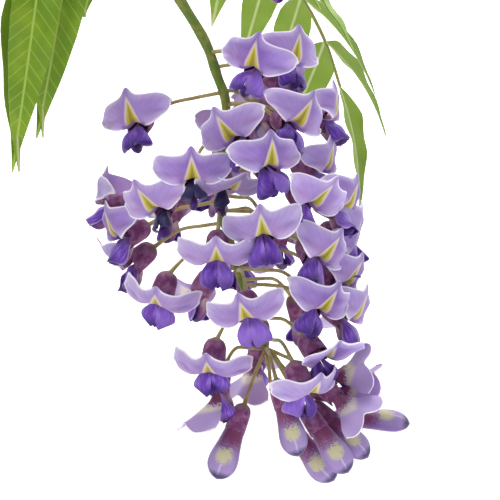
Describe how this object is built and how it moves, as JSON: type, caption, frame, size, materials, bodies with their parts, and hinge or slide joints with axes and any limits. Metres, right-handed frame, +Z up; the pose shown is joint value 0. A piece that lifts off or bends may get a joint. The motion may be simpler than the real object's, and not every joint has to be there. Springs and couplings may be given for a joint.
{
  "type": "potted wisteria",
  "caption": "Young wisteria trained in a plain clay pot, with feathered leaves and one long hanging cluster of lavender pea flowers",
  "frame": {"origin": "centre of the pot's underside, on the ground", "axes": "+Z up, the flower cluster hangs on the +X side, -Y towards the viewer of the picture"},
  "size_m": [0.3892, 0.2886, 0.5198],
  "materials": {
    "pot": "fired clay, matt",
    "soil": "potting soil, matt",
    "trunk": "grey-brown bark, rough",
    "flower_cluster": "petals, soft sheen",
    "leaf_back": "green leaf, half matt",
    "leaf_behind_cluster": "green leaf, half matt",
    "leaf_front": "green leaf, half matt",
    "leaf_high_left": "green leaf, half matt",
    "leaf_left": "green leaf, half matt",
    "leaf_left_of_cluster": "green leaf, half matt",
    "leaf_low_front": "green leaf, half matt",
    "leaf_top": "green leaf, half matt"
  },
  "bodies": {
    "root": {"pot": "pot", "soil": "soil", "trunk": "trunk", "flower_cluster": "flower_cluster", "leaf_back": "leaf_back", "leaf_behind_cluster": "leaf_behind_cluster", "leaf_front": "leaf_front", "leaf_high_left": "leaf_high_left", "leaf_left": "leaf_left", "leaf_left_of_cluster": "leaf_left_of_cluster", "leaf_low_front": "leaf_low_front", "leaf_top": "leaf_top"}
  },
  "joints": []
}
